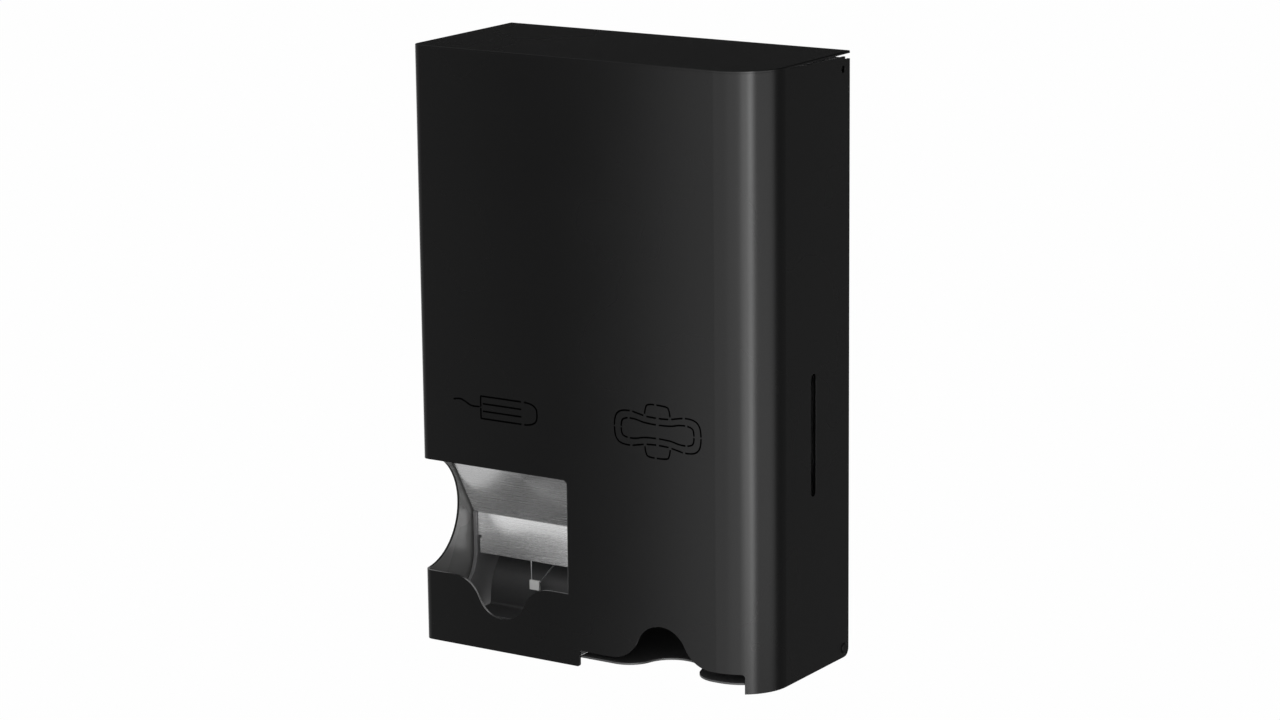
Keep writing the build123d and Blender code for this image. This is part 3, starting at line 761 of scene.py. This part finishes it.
# %% World
def looked_at(tree):
    """1 for the rays that look at a backdrop (camera, gloss and glass), 0 for the others."""
    rays = shader_node(tree, "ShaderNodeLightPath")
    found = rays.outputs["Is Camera Ray"]
    for kind in ("Is Glossy Ray", "Is Transmission Ray"):
        either = shader_node(tree, "ShaderNodeMath", operation="MAXIMUM")
        tree.links.new(found, either.inputs[0])
        tree.links.new(rays.outputs[kind], either.inputs[1])
        found = either.outputs["Value"]
    return found


world_light = 0.45
world = bpy.data.worlds.new("studio_world")
bpy.context.scene.world = world
world.use_nodes = True
tree = world.node_tree
dim = tree.nodes["Background"]
dim.inputs["Color"].default_value = (1, 1, 1, 1)
dim.inputs["Strength"].default_value = world_light
white = shader_node(tree, "ShaderNodeBackground", {"Color": (1, 1, 1, 1), "Strength": 1.0})
world_mix = shader_node(tree, "ShaderNodeMixShader")
tree.links.new(looked_at(tree), world_mix.inputs[0])
tree.links.new(dim.outputs[0], world_mix.inputs[1])
tree.links.new(white.outputs[0], world_mix.inputs[2])
tree.links.new(world_mix.outputs[0], tree.nodes["World Output"].inputs["Surface"])
bpy.context.scene.view_settings.view_transform = "Standard"
print("world", world.name)

# %% [markdown]
# A dispenser on a wall has no floor near it, so the pale floor lies three metres below, where it also
# leaves room for a view from underneath. It is nearly all glow for the rays that look at it, so that
# it is as white as the backdrop, and keeps a small share of matt paint, which takes the shadow.

# %% Floor
floor_level = -3.0
floor_reach = 40.0
glow_share = 0.985
floor_bm = bmesh.new()
bmesh.ops.create_grid(
    floor_bm,
    x_segments=1,
    y_segments=1,
    size=floor_reach,
    matrix=Matrix.Translation((0, 0, floor_level)),
)
floor_mesh = bpy.data.meshes.new("studio_floor")
floor_bm.to_mesh(floor_mesh)
floor_bm.free()
floor_paint = bpy.data.materials.new("floor_paint")
floor_paint.use_nodes = True
tree = floor_paint.node_tree
matt = tree.nodes["Principled BSDF"]
matt.inputs["Base Color"].default_value = (0.92, 0.92, 0.92, 1.0)
matt.inputs["Roughness"].default_value = 0.9
matt.inputs["Specular IOR Level"].default_value = 0.0
glow = shader_node(tree, "ShaderNodeEmission", {"Color": (1, 1, 1, 1), "Strength": 1.0})
share = shader_node(tree, "ShaderNodeMath", operation="MULTIPLY")
tree.links.new(looked_at(tree), share.inputs[0])
share.inputs[1].default_value = glow_share
floor_mix = shader_node(tree, "ShaderNodeMixShader")
tree.links.new(share.outputs["Value"], floor_mix.inputs[0])
tree.links.new(matt.outputs[0], floor_mix.inputs[1])
tree.links.new(glow.outputs[0], floor_mix.inputs[2])
tree.links.new(floor_mix.outputs[0], tree.nodes["Material Output"].inputs["Surface"])
floor_mesh.materials.append(floor_paint)
floor = bpy.data.objects.new("studio_floor", floor_mesh)
bpy.context.collection.objects.link(floor)
floor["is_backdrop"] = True
print("floor at", floor_level)


# %% [markdown]
# Four rectangular lamps model the black sheet. The near one in front gives the front face its slow
# gradient from left to right. The narrow strip and the wide glow stand to the right, where the large
# bend mirrors them as its upright highlight with soft skirts, and the last one shows in the bend's
# rear. These three are mirrored but light nothing matt, so that they don't pale the rest.

# %% Softboxes
def softbox(name, place, aim, width, height, power):
    """Rectangular area light that faces a point."""
    lamp_data = bpy.data.lights.new(name, "AREA")
    lamp_data.shape = "RECTANGLE"
    lamp_data.size = width
    lamp_data.size_y = height
    lamp_data.energy = power
    lamp = bpy.data.objects.new(name, lamp_data)
    bpy.context.collection.objects.link(lamp)
    turn = (Vector(place) - Vector(aim)).to_track_quat("Z", "Y").to_matrix().to_4x4()
    lamp.matrix_world = Matrix.Translation(place) @ turn
    return lamp


front_place, front_aim = (0.115, -0.45, -0.1), (0.115, 0.0, -0.1)
softbox("front_glow", front_place, front_aim, width=0.55, height=0.9, power=4.0)
case_corner = (0.09, -0.09, 0.0)
tall = 1.1
for name, place, width, power in (
    ("bend_strip", (0.92, -0.72, 0.0), 0.13, 6.3),
    ("bend_glow", (0.93, -0.85, 0.0), 0.6, 12.0),
    ("side_glow", (1.2, -0.1, 0.0), 0.85, 7.0),
):
    softbox(name, place, case_corner, width, tall, power).visible_diffuse = False
print("lamps", len(bpy.data.lights))


# %% [markdown]
# To keep a black product black in a white room, a photographer puts up flags: dark and grey cards
# outside the picture, which the gloss mirrors in place of the room. One stands behind the case for
# the roof, one beside it for the right side, one to the left of the camera for the front, and one
# lies low for the trough. Only glossy rays see them. Light Path is in each card's own material.

# %% Flags
def flag(name, corners, shade):
    """Card that only a gloss sees, with an even shade."""
    board = bmesh.new()
    board.faces.new([board.verts.new(corner) for corner in corners])
    mesh = bpy.data.meshes.new(name)
    board.to_mesh(mesh)
    board.free()
    paint = bpy.data.materials.new(name)
    paint.use_nodes = True
    tree = paint.node_tree
    tree.nodes.clear()
    grey = (shade, shade, shade, 1.0)
    shown = shader_node(tree, "ShaderNodeEmission", {"Color": grey, "Strength": 1.0})
    clear = shader_node(tree, "ShaderNodeBsdfTransparent")
    ray = shader_node(tree, "ShaderNodeLightPath")
    either = shader_node(tree, "ShaderNodeMixShader")
    tree.links.new(ray.outputs["Is Glossy Ray"], either.inputs[0])
    tree.links.new(clear.outputs[0], either.inputs[1])
    tree.links.new(shown.outputs[0], either.inputs[2])
    out = shader_node(tree, "ShaderNodeOutputMaterial")
    tree.links.new(either.outputs[0], out.inputs["Surface"])
    mesh.materials.append(paint)
    card = bpy.data.objects.new(name, mesh)
    bpy.context.collection.objects.link(card)
    card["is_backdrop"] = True


for name, left, right, low, high, depth, shade in (
    ("roof_flag", -2.5, 0.6, 0.19, 2.5, 0.4, 0.043),
    ("side_flag", 0.16, 2.5, -1.2, 0.19, 0.4, 0.26),
    ("front_flag", -0.7, 0.1, -1.2, 0.8, -0.95, 0.2),
):
    lower_edge = [(left, depth, low), (right, depth, low)]
    flag(name, [*lower_edge, (right, depth, high), (left, depth, high)], shade)
low_level = -0.9
low_corners = [(-1.8, -0.8), (-0.25, -0.8), (-0.25, 0.5), (-1.8, 0.5)]
flag("low_flag", [(*corner, low_level) for corner in low_corners], 0.42)
print("flags up")

# %% [markdown]
# Last, the size of the whole is written beside the size of the CAD model, so that a piece that sticks
# out by mistake shows at once. The signs make the only difference, a hundredth of a millimetre.

# %% Finish
scene_bounds = [[float(value) for value in corner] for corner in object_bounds()]
grown = [
    round(abs(scene_bounds[end][axis] - cad_bounds[end][axis]) / MM, 3)
    for end in (0, 1)
    for axis in range(3)
]
print("grown by", grown, "mm")
